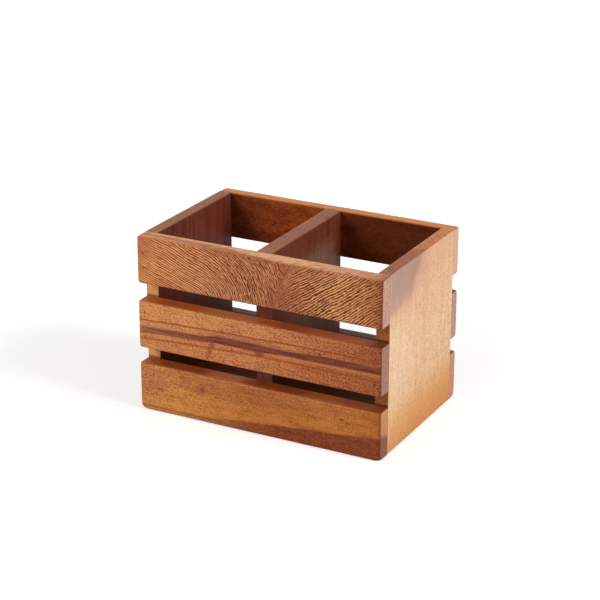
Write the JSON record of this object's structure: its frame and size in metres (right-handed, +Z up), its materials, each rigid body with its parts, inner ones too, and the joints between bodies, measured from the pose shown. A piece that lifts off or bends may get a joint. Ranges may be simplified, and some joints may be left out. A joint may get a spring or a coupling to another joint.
{
  "type": "utensil caddy",
  "caption": "Open-topped slatted wooden caddy with a centre divider, for standing table cutlery upright.",
  "frame": {"origin": "on the resting plane, at the middle of the outer width and depth", "axes": "+X along the slats to the right as seen from the front, +Y to the back, +Z up"},
  "size_m": [0.184, 0.121, 0.127],
  "materials": {
    "left_end_panel": "oiled, fine satin",
    "right_end_panel": "oiled, fine satin",
    "front_bottom_slat": "oiled, fine satin",
    "back_bottom_slat": "oiled, fine satin",
    "base_board": "oiled, fine satin",
    "centre_divider": "oiled, fine satin",
    "front_middle_slat": "oiled, fine satin",
    "back_middle_slat": "oiled, fine satin",
    "front_top_slat": "oiled, fine satin",
    "back_top_slat": "oiled, fine satin",
    "brad_steel": "bright wire",
    "filler": "matt wood filler"
  },
  "bodies": {
    "root": {"left_end_panel": "left_end_panel", "right_end_panel": "right_end_panel", "front_bottom_slat": "front_bottom_slat", "back_bottom_slat": "back_bottom_slat", "base_board": "base_board", "centre_divider": "centre_divider", "front_middle_slat": "front_middle_slat", "back_middle_slat": "back_middle_slat", "front_top_slat": "front_top_slat", "back_top_slat": "back_top_slat", "front_slat_brads": "brad_steel", "front_brad_fillers": "filler", "back_slat_brads": "brad_steel", "back_brad_fillers": "filler", "divider_brads": "brad_steel"}
  },
  "joints": []
}
